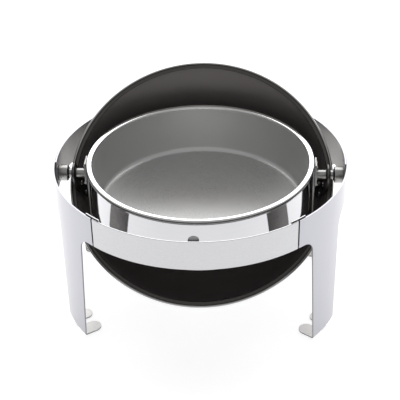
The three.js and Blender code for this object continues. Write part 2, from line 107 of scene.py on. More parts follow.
def metal(name, color, rough, lines, strength, rough_swing, tint, metallic=1.0):
    """Metal, or rubber with metallic 0, with a fine grain in roughness, colour and bump.

    lines is (kind, pitch in mm): 'around' makes level lines, 'across' lines along X, 'spun' follows the
    turning, 'even' is the same each way. strength is the bump's.
    """
    m = bpy.data.materials.new(name)
    m.use_nodes = True
    nt = m.node_tree
    bsdf = nt.nodes["Principled BSDF"]
    bsdf.inputs["Metallic"].default_value = metallic
    where = node(nt, "ShaderNodeTexCoord").outputs["Object"]
    kind, pitch = lines
    k = 1.0 / (pitch * MM)
    if kind == "spun":
        # noise over (radius, height, a little of the angle), so that it runs round in rings
        split = node(nt, "ShaderNodeSeparateXYZ")
        nt.links.new(where, split.inputs[0])
        flat = node(nt, "ShaderNodeCombineXYZ")
        nt.links.new(split.outputs[0], flat.inputs[0])
        nt.links.new(split.outputs[1], flat.inputs[1])
        size = node(nt, "ShaderNodeVectorMath", operation="LENGTH")
        nt.links.new(flat.outputs[0], size.inputs[0])
        along = node(nt, "ShaderNodeMath", operation="ARCTAN2")
        nt.links.new(split.outputs[1], along.inputs[0])
        nt.links.new(split.outputs[0], along.inputs[1])
        pair = node(nt, "ShaderNodeCombineXYZ")
        slow = node(nt, "ShaderNodeMath", operation="MULTIPLY")
        slow.inputs[1].default_value = 0.012
        nt.links.new(along.outputs[0], slow.inputs[0])
        nt.links.new(size.outputs["Value"], pair.inputs[0])
        nt.links.new(split.outputs[2], pair.inputs[1])
        nt.links.new(slow.outputs[0], pair.inputs[2])
        vec, scale = pair.outputs[0], (k, k, k * 0.35)
    else:
        vec = where
        scale = {"around": (k * 0.02, k * 0.02, k), "across": (k * 0.02, k, k), "even": (k, k, k)}[kind]
    mapping = node(nt, "ShaderNodeMapping")
    mapping.inputs["Scale"].default_value = scale
    nt.links.new(vec, mapping.inputs["Vector"])
    grain = node(nt, "ShaderNodeTexNoise")
    grain.inputs["Scale"].default_value = 1.0
    grain.inputs["Detail"].default_value = 3.0
    grain.inputs["Roughness"].default_value = 0.65
    nt.links.new(mapping.outputs[0], grain.inputs["Vector"])
    broad = node(nt, "ShaderNodeTexNoise")
    broad.inputs["Scale"].default_value = 14.0
    broad.inputs["Detail"].default_value = 4.0
    nt.links.new(where, broad.inputs["Vector"])
    both = node(nt, "ShaderNodeMix", data_type="FLOAT")
    both.inputs[0].default_value = 0.35
    nt.links.new(grain.outputs["Fac"], both.inputs[2])
    nt.links.new(broad.outputs["Fac"], both.inputs[3])
    r = node(nt, "ShaderNodeMapRange")
    r.inputs["From Min"].default_value = 0.3
    r.inputs["From Max"].default_value = 0.7
    r.inputs["To Min"].default_value = max(0.01, rough - rough_swing)
    r.inputs["To Max"].default_value = rough + rough_swing
    nt.links.new(both.outputs[0], r.inputs["Value"])
    nt.links.new(r.outputs[0], bsdf.inputs["Roughness"])
    ramp = node(nt, "ShaderNodeValToRGB")
    lo, hi = [tuple(max(0.0, c * (1 + s * tint)) for c in color) for s in (-1, 1)]
    ramp.color_ramp.elements[0].position, ramp.color_ramp.elements[1].position = 0.3, 0.7
    ramp.color_ramp.elements[0].color = (*lo, 1)
    ramp.color_ramp.elements[1].color = (*hi, 1)
    nt.links.new(both.outputs[0], ramp.inputs[0])
    nt.links.new(ramp.outputs[0], bsdf.inputs["Base Color"])
    bump = node(nt, "ShaderNodeBump")
    bump.inputs["Strength"].default_value = strength
    bump.inputs["Distance"].default_value = 0.00008
    nt.links.new(grain.outputs["Fac"], bump.inputs["Height"])
    nt.links.new(bump.outputs[0], bsdf.inputs["Normal"])
    return m


leg_steel = metal("leg_steel", (0.50, 0.50, 0.54), 0.07, ("even", 1.2), 0.05, 0.02, 0.02)
band_steel = metal("band_steel", (0.595, 0.595, 0.61), 0.27, ("around", 0.45), 0.5, 0.08, 0.05)
tab_steel = metal("tab_steel", (0.78, 0.77, 0.76), 0.5, ("even", 0.8), 0.1, 0.05, 0.03)
# dark steel for the legs' cut edges, and under the food pan's rim, where it is painted shade
cut_edge_and_painted_shade = metal("cut_edge_and_painted_shade", (0.28, 0.28, 0.285), 0.3, ("even", 0.5), 0.2, 0.05, 0.05)
# darker, warmer copy of the sheet steel for the inner faces of legs and bands: painted shade
inner_painted_shade = metal("inner_painted_shade", (0.255, 0.245, 0.235), 0.30, ("around", 0.6), 0.15, 0.05, 0.04)
# dark steel for the tongues behind the seams: painted shade in the seams
tongue_painted_shade = metal("tongue_painted_shade", (0.22, 0.22, 0.22), 0.32, ("around", 0.6), 0.2, 0.05, 0.05)
pan_steel = metal("pan_steel", (0.70, 0.70, 0.695), 0.46, ("spun", 0.8), 0.10, 0.04, 0.015)
pan_base = metal("pan_base", (0.57, 0.57, 0.565), 0.28, ("spun", 0.8), 0.02, 0.02, 0.01)
# the bead's steel is lighter than the pan's: a painted highlight; its low roughness is the rim's polish
rim_painted_highlight = metal("rim_painted_highlight", (0.86, 0.86, 0.85), 0.14, ("spun", 0.8), 0.08, 0.03, 0.02)
water_steel = metal("water_steel", (0.66, 0.66, 0.68), 0.05, ("around", 0.9), 0.05, 0.02, 0.03)
dome_steel = metal("dome_steel", (0.62, 0.62, 0.635), 0.13, ("even", 1.0), 0.05, 0.03, 0.03)
dome_inside = metal("dome_inside", (0.42, 0.397, 0.387), 0.40, ("even", 1.0), 0.12, 0.05, 0.05, metallic=0.80)
# near-black copy of the dome steel for the hem's flange: painted shade inside the rim
flange_painted_shade = metal("flange_painted_shade", (0.11, 0.105, 0.10), 0.3, ("even", 1.0), 0.08, 0.04, 0.03)
hem_steel = metal("hem_steel", (0.54, 0.535, 0.53), 0.2, ("even", 1.0), 0.08, 0.04, 0.03)
fixing = metal("fixing_steel", (0.30, 0.30, 0.295), 0.26, ("even", 0.6), 0.2, 0.06, 0.04)
# the ear strips' steel is near black: painted shade inside the lid
ear_painted_shade = metal("ear_painted_shade", (0.16, 0.155, 0.15), 0.34, ("across", 0.5), 0.3, 0.06, 0.05)
bracket = metal("bracket_steel", (0.40, 0.40, 0.395), 0.3, ("across", 0.5), 0.4, 0.08, 0.05)
pivot_steel = metal("pivot_steel", (0.44, 0.44, 0.43), 0.32, ("across", 0.35), 0.4, 0.06, 0.05)
handle_steel = metal("handle_steel", (0.66, 0.66, 0.68), 0.08, ("even", 0.8), 0.05, 0.03, 0.02)
black = metal("washer_black", (0.013, 0.013, 0.014), 0.5, ("even", 0.7), 0.4, 0.1, 0.2, metallic=0.0)
rubber = metal("rest_rubber", (0.13, 0.13, 0.135), 0.42, ("even", 0.6), 0.5, 0.08, 0.15, metallic=0.0)


# ---------------------------------------------------------------- building pieces
def build(name, verts, faces, mats, body, nodes, slot, which=None, sharp=32, bevel=0.0):
    """Piece from millimetre points. which gives each face's material, bevel rounds its sharp edges."""
    mesh = bpy.data.meshes.new(name)
    mesh.from_pydata([(x * MM, y * MM, z * MM) for x, y, z in verts], [], faces)
    for m in mats:
        mesh.materials.append(m)
    if which:
        for poly, i in zip(mesh.polygons, which):
            poly.material_index = i
    bm = bmesh.new()
    bm.from_mesh(mesh)
    bmesh.ops.remove_doubles(bm, verts=bm.verts, dist=1e-7)
    bmesh.ops.dissolve_degenerate(bm, edges=bm.edges, dist=1e-7)
    bmesh.ops.recalc_face_normals(bm, faces=bm.faces)
    bm.to_mesh(mesh)
    bm.free()
    mesh.shade_smooth()
    mesh.set_sharp_from_angle(angle=rad(sharp))
    o = bpy.data.objects.new(name, mesh)
    bpy.context.scene.collection.objects.link(o)
    if bevel:
        b = o.modifiers.new("edge", "BEVEL")
        b.width, b.segments, b.miter_outer = bevel * MM, 2, "MITER_ARC"
        b.limit_method, b.angle_limit = "ANGLE", rad(40)
        w = o.modifiers.new("flat", "WEIGHTED_NORMAL")
        w.keep_sharp = True
        w.weight = 100
    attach(o, body)
    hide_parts(*nodes)
    return o


def lathe(profile, seg, closed=False):
    """Turned surface round Z from (radius, z) points; ends on the axis unless closed."""
    verts, faces = [], []
    n = len(profile)
    for r, z in profile:
        for i in range(seg):
            a = 2 * math.pi * i / seg
            verts.append((r * math.cos(a), r * math.sin(a), z))
    for j in range(n if closed else n - 1):
        k = (j + 1) % n
        for i in range(seg):
            h = (i + 1) % seg
            faces.append((j * seg + i, j * seg + h, k * seg + h, k * seg + i))
    return verts, faces


def arc(cx, cz, r, a0, a1, n):
    """n + 1 points on a circle, from angle a0 to a1."""
    steps = [a0 + (a1 - a0) * i / n for i in range(n + 1)]
    return [(cx + r * cos(a), cz + r * sin(a)) for a in steps]


def rounded(points, radii, n=4, closed=True):
    """Polygon with its corners rounded."""
    out = []
    count = len(points)
    for i, (p, r) in enumerate(zip(points, radii)):
        if not r or (not closed and i in (0, count - 1)):
            out.append(tuple(p))
            continue
        a, b, c = (Vector(points[(i + s) % count]) for s in (-1, 0, 1))
        u, v = (a - b).normalized(), (c - b).normalized()
        half = u.angle(v) / 2
        d = min(r / math.tan(half), 0.45 * (a - b).length, 0.45 * (c - b).length)
        p0, p1 = b + u * d, b + v * d
        for k in range(n + 1):
            t = k / n
            out.append(tuple((1 - t) ** 2 * p0 + 2 * t * (1 - t) * b + t ** 2 * p1))
    return out


def along_x(made, side):
    """Stand a turned piece on the pivot axis; its z becomes the distance out from the middle."""
    verts, faces = made
    return [(side * z, x, y + PIVOT_Z) for x, y, z in verts], faces


def shift(made, y=0.0, z=0.0):
    return [(a, b + y, c + z) for a, b, c in made[0]], made[1]


def placed(made, matrix):
    return [tuple(matrix @ Vector(v)) for v in made[0]], *made[1:]


def mirrored(made, sx=1, sy=1):
    return [(sx * x, sy * y, z) for x, y, z in made[0]], *made[1:]


def merged(*parts):
    verts, faces, tags = [], [], []
    for v, f, t in parts:
        k = len(verts)
        verts += v
        faces += [tuple(i + k for i in face) for face in f]
        tags += t
    return verts, faces, tags


def ring(r, x0, x1, c):
    """Washer or tube round the pin, from x0 to x1, with corners of radius c."""
    bore = PIN_R + PLAY
    pts = [(bore, x0), (r, x0), (r, x1), (bore, x1)]
    return lathe(rounded(pts, [c * 0.7, c, c, c * 0.7], 3), 72, closed=True)


def rod(r, x0, x1, c, seg):
    """Solid rod from x0 to x1 with corners of radius c."""
    pts = [(0, x0), (r, x0), (r, x1), (0, x1)]
    return lathe(rounded(pts, [0, c, c, 0], 3, closed=False), seg)


def sheet(grid, faces):
    """Closed sheet from pairs of (outer point, inner point) and faces over them; tags the inner side 1."""
    n = len(grid)
    verts = [p for p, _ in grid] + [q for _, q in grid]
    out = list(faces) + [tuple(i + n for i in reversed(f)) for f in faces]
    edges = dict.fromkeys((f[i], f[(i + 1) % len(f)]) for f in faces for i in range(len(f)))
    out += [(b, a, a + n, b + n) for a, b in edges if (b, a) not in edges]
    return verts, out, [0] * len(faces) + [1] * len(faces) + [0] * (len(out) - 2 * len(faces))


def polar(r, a, z):
    """Point at radius r and angle a from the front, positive to the right."""
    return (r * sin(a), -r * cos(a), z)


def curved_plate(r1, r0, a0, a1, z0, z1):
    """Piece of a ring's wall between two radii, two angles and two heights."""
    n, rows = max(2, round((a1 - a0) / 1.2)), 3
    grid, faces = [], []
    for j in range(rows + 1):
        z = z0 + (z1 - z0) * j / rows
        for i in range(n + 1):
            a = a0 + (a1 - a0) * i / n
            grid.append((polar(r1, a, z), polar(r0, a, z)))
    for j in range(rows):
        for i in range(n):
            k = j * (n + 1) + i
            faces.append((k, k + 1, k + n + 2, k + n + 1))
    return sheet(grid, faces)


# ---------------------------------------------------------------- ring and legs
def leg(R):
    """Leg plate on the front right, bent in at the foot into two round-ended tabs.

    R is its outer radius and u the distance from its middle line. Tags: 0 outside, 1 inside, 2 tabs,
    3 cut edges.
    """
    mid = sum(LEG_FOOT) / 2

    def u_at(a):
        return R * sin(a - mid)

    foot = (u_at(LEG_FOOT[0]), u_at(LEG_FOOT[1]))
    w = TAB_W / 2
    tabs = ((foot[0] + w, range(0, 11)), (foot[1] - w, range(14, 25)))
    at_foot = [tabs[0][0] - w * cos(18 * i) for i in range(11)]
    gap = (at_foot[-1], tabs[1][0] - w)
    at_foot += [gap[0] + (gap[1] - gap[0]) * i / 4 for i in range(1, 4)]
    at_foot += [tabs[1][0] - w * cos(18 * i) for i in range(11)]
    share = [(u - foot[0]) / (foot[1] - foot[0]) for u in at_foot]
    cols = len(share)

    def edge(k, z):
        """Left (0) or right (1) edge of the leg at height z, with the fillet under the ring."""
        side = -1 if k == 0 else 1
        top, r = u_at(LEG_TOP[k]), FILLET[k]
        zb = BAND_LOW - r
        if z <= zb:
            return foot[k] + (top - foot[k]) * z / zb
        t = math.asin(min(1.0, (z - zb) / r))
        return top + side * r * (1 - math.cos(t))

    def outer(u):
        """Angle of the point u from the leg's middle line."""
        return mid + math.degrees(math.asin(u / R))

    grid, faces = [], []

    def point(a, z):
        grid.append((polar(R, a, z), polar(R - SHEET, a, z)))
        return len(grid) - 1

    bend_z = FOOT_BEND + SHEET
    low = BAND_LOW - FILLET[1]
    zs = [bend_z + (low - bend_z) * i / 9 for i in range(10)]
    zs += [low + FILLET[1] * sin(90 * i / 9) for i in range(1, 9)] + [BAND_LOW]
    rows = []
    for z in zs:
        left, right = edge(0, z), edge(1, z)
        rows.append([point(outer(left + (right - left) * s), z) for s in share])
    for a, b in zip(rows, rows[1:]):
        for i in range(cols - 1):
            faces.append((a[i], a[i + 1], b[i + 1], b[i]))
    # ring part above the leg
    a0, a1 = BAND_HALF + SEAM, 90 + OVERLAP
    left, right = outer(edge(0, BAND_LOW)), outer(edge(1, BAND_LOW))
    before = [a0 + (left - a0) * i / 2 for i in range(2)]
    after = [right + (a1 - right) * i / 14 for i in range(1, 15)]
    base = [point(a, BAND_LOW) for a in before] + rows[-1] + [point(a, BAND_LOW) for a in after]
    inner = [outer(edge(0, BAND_LOW) + (edge(1, BAND_LOW) - edge(0, BAND_LOW)) * s) for s in share]
    angles = before + inner + after
    last = base
    for z in (BAND_LOW + 3, BAND_LOW + 25, RING_TOP - 3, RING_TOP):
        row = [point(a, z) for a in angles]
        for i in range(len(row) - 1):
            faces.append((last[i], last[i + 1], row[i + 1], row[i]))
        last = row
    # straight lower edge between the tabs
    first = rows[0]
    mids = list(range(10, 15))
    down = [point(outer(foot[0] + (foot[1] - foot[0]) * share[i]), FOOT_GAP_Z) for i in mids]
    for i, (p, q) in enumerate(zip(down, down[1:])):
        faces.append((p, q, first[mids[i + 1]], first[mids[i]]))
    # bend and tabs
    for centre, span in tabs:
        ca = outer(centre)
        nx, ny = sin(ca), -cos(ca)
        prev = [first[i] for i in span]
        flat = TAB_L - w - FOOT_BEND
        for k in range(1, 12):
            row = []
            for j, i in enumerate(span):
                a = outer(at_foot[i])
                o, p = polar(R, a, 0), polar(R - SHEET, a, 0)
                if k <= 5:
                    t = 18 * k
                    do, zo = bend_z * (1 - cos(t)), bend_z * (1 - sin(t))
                    di, zi = FOOT_BEND * (1 - cos(t)), bend_z - FOOT_BEND * sin(t)
                else:
                    off = -w * cos(18 * j)
                    reach = flat + math.sqrt(max(0.0, w * w - off * off))
                    f = (k - 5) / 6
                    # sagitta: the bend follows the ring, the tab's end doesn't
                    sag = (R - math.sqrt(R * R - off * off)) * f
                    do, zo = bend_z + (reach * f) - sag, 0.0
                    di, zi = FOOT_BEND + (reach * f) - sag, SHEET
                grid.append(((o[0] - nx * do, o[1] - ny * do, zo), (p[0] - nx * di, p[1] - ny * di, zi)))
                row.append(len(grid) - 1)
            for i in range(len(row) - 1):
                faces.append((row[i], row[i + 1], prev[i + 1], prev[i]))
            prev = row
    v, f, tags = sheet(grid, faces)
    for i, face in enumerate(f):
        top, bottom = max(v[k][2] for k in face), min(v[k][2] for k in face)
        if top < 14:
            tags[i] = 2 if top < 4 else 0
        if i >= 2 * len(faces) and bottom < RING_TOP - 0.1:
            tags[i] = 3
    return v, f, tags


for fore, R, sy in (("front", RING_R, 1), ("rear", REAR_R, -1)):
    plate = leg(R)
    for side, sx in (("right", 1), ("left", -1)):
        v, f, t = mirrored(plate, sx, sy)
        n = f"leg_{fore}_{side}"
        # inner faces in the darker steel, painted shade; cut edges in the dark steel
        build(n + "_plate", v, f, [leg_steel, inner_painted_shade, tab_steel, cut_edge_and_painted_shade], "stand", [n],
              "leg_polished", t, bevel=0.35, sharp=50)
    # band, with a tongue behind each seam
    back = R - SHEET - PLAY
    parts = [curved_plate(R, R - SHEET, -BAND_HALF, BAND_HALF, BAND_LOW, RING_TOP)]
    for s in (-1, 1):
        a = sorted((s * TONGUE[0], s * TONGUE[1]))
        tongue = curved_plate(back, back - SHEET, *a, BAND_LOW + 2, RING_TOP + 2)
        faced = 2 * sum(t == 1 for t in tongue[2])
        parts.append((*tongue[:2], [2] * faced + [0] * (len(tongue[2]) - faced)))
    v, f, t = mirrored(merged(*parts), 1, sy)
    n = f"band_{fore}"
    # inner faces and tongues in the darker steels: painted shade inside the ring and in the seams
    build(n + "_sheet", v, f, [band_steel, inner_painted_shade, tongue_painted_shade], "stand", [n], "band_brushed", t,
          bevel=0.45, sharp=50)


# ---------------------------------------------------------------- lid rest
def lug():
    """Strip that rises behind the front band and bends over into the round shelf of the button."""
    y0 = -(RING_R - SHEET - PLAY)
    t, b, w = 2.0, 1.6, REST_R
    outer_b = b + t
    grid, faces, prev = [], [], None
    xs = [-w * cos(18 * i) for i in range(11)]
    path = [(y0, 224.5, y0 + t, 224.5), (y0, SHELF_Z - outer_b, y0 + t, SHELF_Z - outer_b)]
    for k in range(1, 6):
        a = 18 * k
        path.append((y0 + outer_b * (1 - cos(a)), SHELF_Z - outer_b * (1 - sin(a)),
                     y0 + t + b * (1 - cos(a)), SHELF_Z - outer_b + b * sin(a)))
    for k in range(len(path) + 5):
        row = []
        for x in xs:
            if k < len(path):
                yo, zo, yi, zi = path[k]
            else:
                f = (k - len(path) + 1) / 5
                end = REST_Y + math.sqrt(max(0.0, w * w - x * x))
                yo = y0 + outer_b + (end - y0 - outer_b) * f
                yi, zo, zi = yo, SHELF_Z, SHELF_Z - t
            grid.append(((x, yo, zo), (x, yi, zi)))
            row.append(len(grid) - 1)
        if prev:
            for i in range(10):
                faces.append((prev[i], prev[i + 1], row[i + 1], row[i]))
        prev = row
    return sheet(grid, faces)


v, f, _ = lug()
build("lid_rest_lug_strip", v, f, [band_steel], "stand", ["lid_rest_lug"], "bracket_steel", bevel=0.3, sharp=50)
z = SHELF_Z + PLAY
prof = [(0, z - 4.6), (2.6, z - 4.6), (3.0, z - 4.1), (3.0, z), (REST_R - 0.8, z)]
prof += arc(REST_R - 0.8, z + 0.8, 0.8, -90, 0, 4)[1:]
prof += [(REST_R, z + 3.6)]
prof += [(REST_R - 4.5 * (1 - cos(t)), z + 3.6 + 4.2 * sin(t)) for t in (15, 30, 45, 60, 75)]
prof += [(2.0, REST_TOP - 0.1), (0, REST_TOP)]
v, f = shift(lathe(prof, 48), y=REST_Y)
build("lid_rest_button_pad", v, f, [rubber], "stand", ["lid_rest_button"], "rest_rubber")

# ---------------------------------------------------------------- pans
# food pan: inside from the middle of the floor, flat-topped bead, outside back to the middle
foot, c = PAN_IN_R - PAN_DRAFT, PAN_CORNER
mid_r, half = (PAN_IN_R + PAN_RIM_R) / 2, (PAN_RIM_R - PAN_IN_R) / 2
pts = [(0, PAN_FLOOR), (40, PAN_FLOOR), (80, PAN_FLOOR), (120, PAN_FLOOR), (150, PAN_FLOOR)]
pts += arc(foot - c, PAN_FLOOR + c, c, -90, 0, 10)
pts += [(foot + PAN_DRAFT * t, PAN_FLOOR + c + (PAN_TOP - 9.5 - PAN_FLOOR - c) * t)
        for t in (0.2, 0.4, 0.6, 0.8, 0.95)]
floor_end, wall_end = 5, len(pts)
for i in range(25):
    x = -cos(180 * i / 24)
    pts.append((mid_r + half * x, PAN_TOP - PAN_BEAD + PAN_BEAD * (1 - abs(x) ** 2.8) ** (1 / 2.4)))
pts += rounded([(PAN_RIM_R, PAN_TOP - 4.6), (PAN_RIM_R - 0.5, PAN_TOP - 6.1), (PAN_IN_R + 2.6, PAN_TOP - 5.5)],
               [0, 0.7, 0], 3, closed=False)
rim_end = len(pts)
pts += [(PAN_IN_R + PAN_WALL, PAN_TOP - 7.5)]
pts += arc(foot - c, PAN_FLOOR + c, c + PAN_WALL, 0, -90, 10) + [(0, PAN_FLOOR - PAN_WALL)]
v, f = lathe(pts, PAN_SEG)
# the inner side and top of the bead take the lighter steel, a painted highlight; its outer side and the lip
# under it take the dark steel, painted shade under the rim
skirt = wall_end + 21
which = [2 if j < floor_end + 3 else (1 if wall_end <= j < skirt else (3 if skirt <= j < rim_end - 1 else 0))
         for j in range(len(pts) - 1) for _ in range(PAN_SEG)]
build("food_pan_shell", v, f, [pan_steel, rim_painted_highlight, pan_base, cut_edge_and_painted_shade], "food_pan", ["food_pan"],
      "pan_satin", which, sharp=40)

# water pan, inside first
r, t, c = WATER_IN_R, WATER_WALL, WATER_CORNER
pts = [(0, WATER_FLOOR), (60, WATER_FLOOR), (120, WATER_FLOOR)] + arc(r - c, WATER_FLOOR + c, c, -90, 0, 10)
pts += [(r, 200), (r, WATER_TOP - 1.2), (r + 0.3, WATER_TOP - 0.6), (r + 0.9, WATER_TOP - 0.3)]
pts += rounded([(r + 1.6, WATER_TOP - 0.3), (WATER_RIM_R, WATER_TOP - 0.3), (WATER_RIM_R, WATER_TOP - 3.3),
                (r + t + 1.0, WATER_TOP - 3.0)], [0, 1.2, 0.6, 0], 4, closed=False)
pts += [(r + t + 0.2, WATER_TOP - 3.4), (r + t, WATER_TOP - 4.2), (r + t, 200)]
pts += arc(r - c, WATER_FLOOR + c, c + t, 0, -90, 12) + [(120, WATER_FLOOR - t), (0, WATER_FLOOR - t)]
v, f = lathe(pts, PAN_SEG)
build("water_pan_shell", v, f, [water_steel], "stand", ["water_pan"], "water_pan_mirror", sharp=40)


# ---------------------------------------------------------------- cradle, plates and screws
def strap():
    """Flat bar that runs up one side, under the water pan and up the other side."""
    top = PIVOT_Z + PLATE_UP - 4
    inner = [(-STRAP_X, top)] + arc(-STRAP_X + STRAP_BEND, STRAP_LOW + STRAP_BEND, STRAP_BEND, 180, 270, 10)
    inner += arc(STRAP_X - STRAP_BEND, STRAP_LOW + STRAP_BEND, STRAP_BEND, 270, 360, 10) + [(STRAP_X, top)]
    big = STRAP_BEND + STRAP_T
    outer = [(-STRAP_X - STRAP_T, top)]
    outer += arc(-STRAP_X + STRAP_BEND, STRAP_LOW + STRAP_BEND, big, 180, 270, 10)
    outer += arc(STRAP_X - STRAP_BEND, STRAP_LOW + STRAP_BEND, big, 270, 360, 10) + [(STRAP_X + STRAP_T, top)]
    grid, faces = [], []
    for (x0, z0), (x1, z1) in zip(outer, inner):
        for y in (-STRAP_W / 2, -6, 6, STRAP_W / 2):
            grid.append(((x0, y, z0), (x1, y, z1)))
    for j in range(len(outer) - 1):
        for i in range(3):
            k = j * 4 + i
            faces.append((k, k + 1, k + 5, k + 4))
    return sheet(grid, faces)


v, f, _ = strap()
build("cradle_strap_bar", v, f, [bracket], "stand", ["cradle_strap"], "bracket_steel", bevel=0.5, sharp=50)
W, UP, DOWN = PLATE_W / 2, PLATE_UP, PLATE_DOWN
outline = [(-W, 8 - DOWN), (-W + 9, -DOWN), (W - 9, -DOWN), (W, 8 - DOWN), (W, UP), (-W, UP)]
outline = rounded(outline, [2, 2, 2, 2, 2.5, 2.5], 4)
SCREWS = [(-W + 7, UP - 9), (W - 7, UP - 9), (-W + 7, 8 - DOWN), (W - 7, 8 - DOWN)]


def cut(o, cutters):
    """Carve closed shapes out of a piece and keep the result as its mesh."""
    temp = []
    for verts, faces in cutters:
        me = bpy.data.meshes.new("cutter")
        me.from_pydata([(x * MM, y * MM, z * MM) for x, y, z in verts], [], faces)
        bm = bmesh.new()
        bm.from_mesh(me)
        bmesh.ops.remove_doubles(bm, verts=bm.verts, dist=1e-7)
        bmesh.ops.recalc_face_normals(bm, faces=bm.faces)
        bm.to_mesh(me)
        bm.free()
        c = bpy.data.objects.new("cutter", me)
        bpy.context.scene.collection.objects.link(c)
        mod = o.modifiers.new("carve", "BOOLEAN")
        mod.object, mod.operation, mod.solver = c, "DIFFERENCE", "EXACT"
        o.modifiers.move(len(o.modifiers) - 1, len(temp))
        temp.append((mod, c))
    kept = [m for m in o.modifiers if m.type != "BOOLEAN"]
    shown = [m.show_viewport for m in kept]
    for m in kept:
        m.show_viewport = False
    bpy.context.view_layer.update()
    made = bpy.data.meshes.new_from_object(o.evaluated_get(bpy.context.evaluated_depsgraph_get()))
    for m, s in zip(kept, shown):
        m.show_viewport = s
    for mod, c in temp:
        o.modifiers.remove(mod)
        bpy.data.objects.remove(c)
    old = o.data
    o.data = made
    bpy.data.meshes.remove(old)
    o.data.shade_smooth()
    o.data.set_sharp_from_angle(angle=rad(40))


for side, s in (("right", 1), ("left", -1)):
    n = len(outline)
    verts = [(s * x, y, PIVOT_Z + zz) for x in (PLATE_X, PLATE_X + PLATE_T) for y, zz in outline]
    faces = [tuple(range(n)), tuple(range(n, 2 * n))]
    faces += [(i, (i + 1) % n, n + (i + 1) % n, n + i) for i in range(n)]
    build(f"hanger_plate_{side}_bar", verts, faces, [bracket], "stand", [f"hanger_plate_{side}"],
          "bracket_steel", bevel=0.5, sharp=50)
    face = PLATE_X + PLATE_T + PLAY
    for i, (y, zz) in enumerate(SCREWS):
        prof = [(0, STRAP_X + 0.4), (1.9, STRAP_X + 0.4), (1.9, face), (3.3, face), (3.6, face + 0.4)]
        prof += [(3.6 - 1.5 * (1 - cos(t)), face + 0.8 + 1.2 * sin(t)) for t in (0, 22, 45, 68)]
        prof += [(0, face + 2.0)]
        v, f = shift(along_x(lathe(prof, 36), s), y=y, z=zz)
        o = build(f"plate_screw_{side}_{i + 1}_head", v, f, [fixing], "stand",
                  [f"plate_screw_{side}_{i + 1}"], "fixing_steel", sharp=40)
        # crossed slots in the head, turned a little more on each screw
        slots = []
        turn = 25 + 40 * i
        for q in (turn, turn + 90):
            box = [(s * x, 0.45 * b * cos(q) - 1.9 * c * sin(q), 0.45 * b * sin(q) + 1.9 * c * cos(q))
                   for x in (face + 0.9, face + 3) for b in (-1, 1) for c in (-1, 1)]
            quads = [(0, 1, 3, 2), (4, 5, 7, 6), (0, 1, 5, 4), (2, 3, 7, 6), (0, 2, 6, 4), (1, 3, 7, 5)]
            slots.append(([(a, y + b, PIVOT_Z + zz + c) for a, b, c in box], quads))
        cut(o, slots)

# ---------------------------------------------------------------- pivots
WALL_X = REAR_R - SHEET - 0.7
TUBE_END = EAR_IN - 2.8
for side, s in (("right", 1), ("left", -1)):
    stack = (
        ("spacer_tube", ring(TUBE_R, PLATE_X + PLATE_T + PLAY, TUBE_END, 0.7), pivot_steel, "pivot_steel"),
        ("inner_washer", ring(WASHER_R, TUBE_END + PLAY, EAR_IN - 0.9, 0.3), black, "washer_black"),
        ("friction_washer", ring(WASHER_R, EAR_OUT + PLAY, EAR_OUT + 1.7, 0.3), black, "washer_black"),
        ("collar", ring(TUBE_R - 0.4, EAR_OUT + 2, EAR_OUT + 6.6, 0.6), pivot_steel, "pivot_steel"),
        ("outer_washer", ring(WASHER_R + 0.4, EAR_OUT + 6.9, EAR_OUT + 8.1, 0.3), black, "washer_black"),
        ("pivot_pin", rod(PIN_R, PLATE_X + 0.2, WALL_X - 3.5, 0.5, 64), fixing, "fixing_steel"),
    )
    for n, made, mat, slot in stack:
        v, f = along_x(made, s)
        build(f"{n}_{side}_turned", v, f, [mat], "stand", [f"{n}_{side}"], slot)
    x0, x1 = EAR_OUT + 8.4, WALL_X
    b = PIN_R + PLAY
    pts = [(b, x0), (BOSS_R, x0), (BOSS_R, x1), (0, x1), (0, x1 - 3), (b, x1 - 3)]
    pts = rounded(pts, [0.3, 1.3, 0.6, 0, 0, 0], 4, closed=False)
    v, f = along_x(lathe(pts + [pts[0]], 80), s)
    build(f"pivot_boss_{side}_turned", v, f, [pivot_steel], "stand", [f"pivot_boss_{side}"], "pivot_steel")


# ---------------------------------------------------------------- lid, drawn closed about its axis
ROLL = Matrix.Translation((0, 0, PIVOT_Z)) @ Matrix.Rotation(rad(-OPEN), 4, "X")
inner_r = DOME_R - DOME_T
zi, zo = RIM_OFF + 3.6, RIM_OFF + 5.6
ai, ao = math.degrees(math.asin(zi / inner_r)), math.degrees(math.asin(zo / DOME_R))
h, z = HEM_R, RIM_OFF
# dome: inside from the top, flange, hem, outside back to the top
inside = arc(0, 0, inner_r, 90, ai, 36)
inside[0] = (0, inner_r)
hem = rounded([(inner_r * cos(ai) + 0.1, z + 2.4), (inner_r * cos(ai) + 0.9, z + 1.6), (h - 4.9, z + 1.6),
               (h - 4.0, z + 2.2), (h - 3.4, z + 0.9)], [0, 0.6, 0.5, 0.3, 0], 3, closed=False)
flange = len(hem)
hem += [(h - 2 + 2.0 * cos(a), z + 2 - 2.0 * sin(a)) for a in range(135, -91, -18)]
hem += rounded([(h - 4.6, z + 3.8), (h - 5.6, z + 4.2), (DOME_R * cos(ao) + 0.1, z + 5.2)], [0, 0.5, 0], 3,
               closed=False)
outside = arc(0, 0, DOME_R, ao, 90, 36)
outside[-1] = (0, DOME_R)
pts = inside + hem + outside
v, f = placed(lathe(pts, DOME_SEG), ROLL)
a, b = len(inside), len(inside) + len(hem)
# the flange faces take the near-black steel: painted shade inside the hem
which = [1 if j < a - 1 else (3 if j < a + flange else (2 if j < b else 0))
         for j in range(len(pts) - 1) for _ in range(DOME_SEG)]
build("lid_dome_shell", v, f, [dome_steel, dome_inside, hem_steel, flange_painted_shade], "lid", ["lid_dome"],
      "lid_shell", which, sharp=40)


